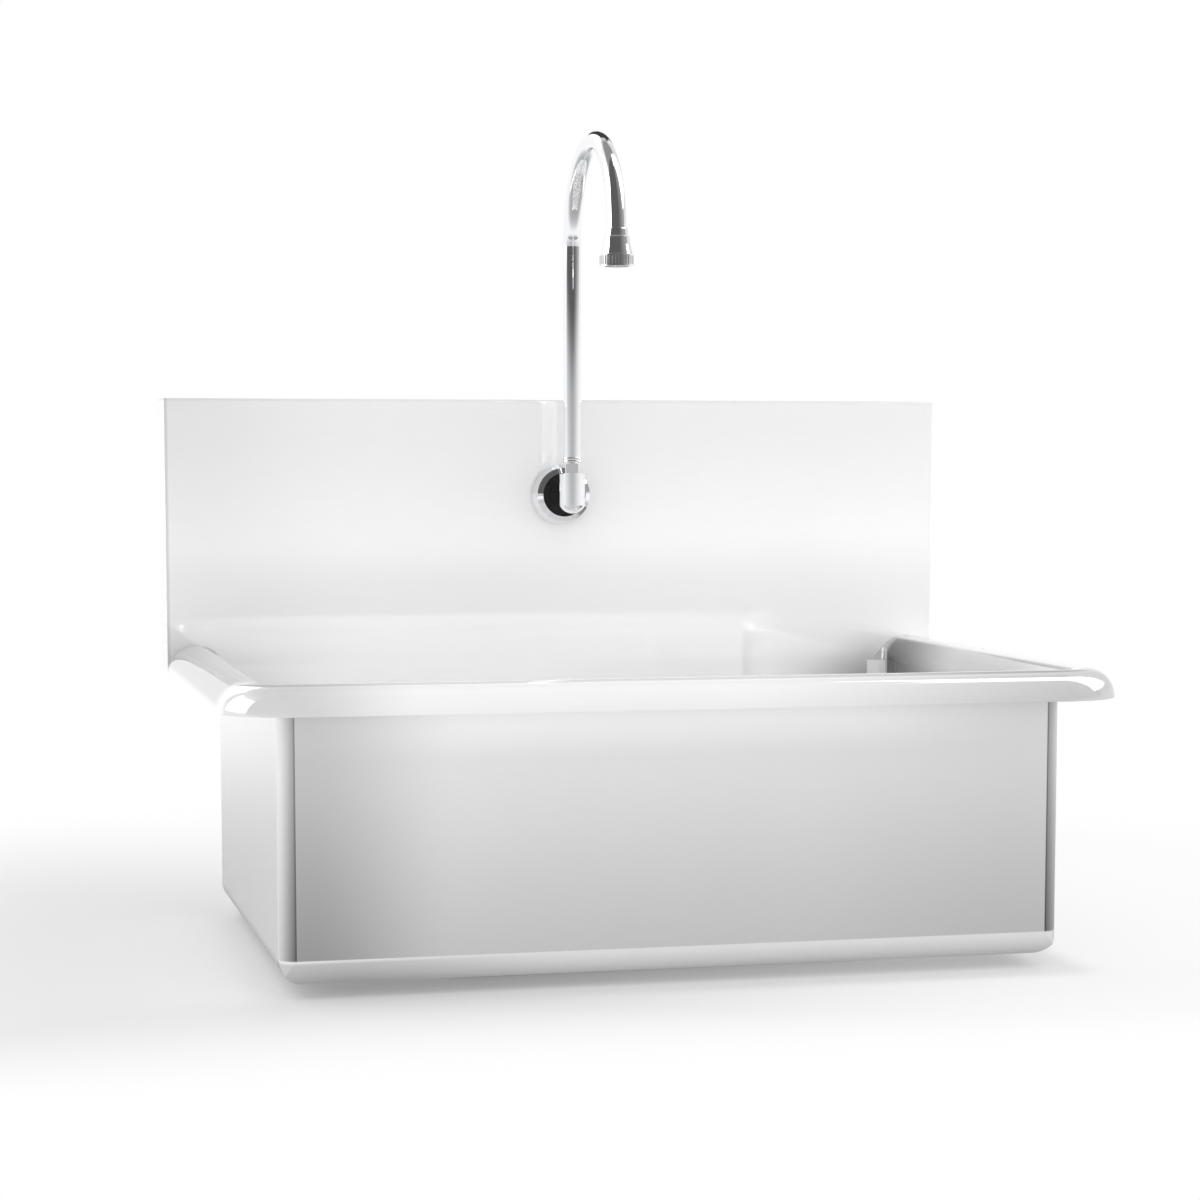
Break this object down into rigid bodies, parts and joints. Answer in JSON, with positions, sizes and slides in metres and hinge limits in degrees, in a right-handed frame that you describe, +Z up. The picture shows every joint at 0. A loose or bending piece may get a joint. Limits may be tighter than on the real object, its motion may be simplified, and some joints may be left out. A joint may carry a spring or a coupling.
{
  "type": "surgical scrub sink",
  "caption": "Wall-hung stainless steel scrub sink with a deep bowl, half-round rolled rim, boxed backsplash and a swinging chrome gooseneck spout with a spray head.",
  "frame": {"origin": "middle of the line between the wall hanger's two bolts, on the wall's face", "axes": "+Y into the wall, along the bolts; +Z up; +X to the right as the user faces the sink"},
  "size_m": [0.838, 0.6355, 0.8337],
  "materials": {
    "satin_steel": "satin polished stainless sheet",
    "plain_steel": "plain turned or rolled steel",
    "polished_chrome": "bright chrome plate",
    "black_rubber": "matt rubber",
    "fibre": "pressed fibre"
  },
  "bodies": {
    "sink": {"backsplash_panel": "satin_steel", "backsplash_end_left": "satin_steel", "backsplash_end_right": "satin_steel", "backsplash_base": "satin_steel", "hanger_rail": "plain_steel", "wall_hanger": "plain_steel", "faucet_plate": "plain_steel", "bowl_wrap": "satin_steel", "bowl_end_left": "satin_steel", "bowl_end_right": "satin_steel", "rim_front": "satin_steel", "rim_left": "satin_steel", "rim_right": "satin_steel", "rim_corner_left": "satin_steel", "rim_corner_right": "satin_steel", "corner_gusset_left": "satin_steel", "corner_gusset_right": "satin_steel", "sound_pad": "black_rubber", "drain_body": "plain_steel", "drain_gasket": "black_rubber", "drain_washer": "fibre", "drain_locknut": "plain_steel", "tailpiece": "plain_steel", "tail_washer": "black_rubber", "tail_nut": "plain_steel", "wall_flange": "polished_chrome", "flange_seal": "black_rubber", "spout_elbow": "polished_chrome", "supply_shank": "plain_steel", "shank_washer": "plain_steel", "shank_locknut": "plain_steel", "swivel_nut": "polished_chrome"},
    "spout": {"swivel_stem": "plain_steel", "swivel_o_rings": "black_rubber", "spout_collar": "polished_chrome", "gooseneck_tube": "polished_chrome", "spray_bell": "polished_chrome", "spray_gasket": "black_rubber", "spray_plate": "plain_steel"},
    "spray_ring": {"spray_ring": "polished_chrome"},
    "strainer": {"drain_strainer": "polished_chrome"}
  },
  "joints": [
    {"name": "spout_swing", "type": "hinge", "parent": "sink", "child": "spout", "pos_m": [0, -0.134, 0.0032], "axis": [0, 0, 1], "range_deg": [-120, 120]},
    {"name": "spray_ring_turn", "type": "hinge", "parent": "spout", "child": "spray_ring", "pos_m": [0, -0.33, 0.2], "axis": [0, 0, -1], "range_deg": [0, 90]},
    {"name": "strainer_lift", "type": "slide", "parent": "sink", "child": "strainer", "axis": [0, 0, 1], "range_m": [0, 0.04]}
  ]
}
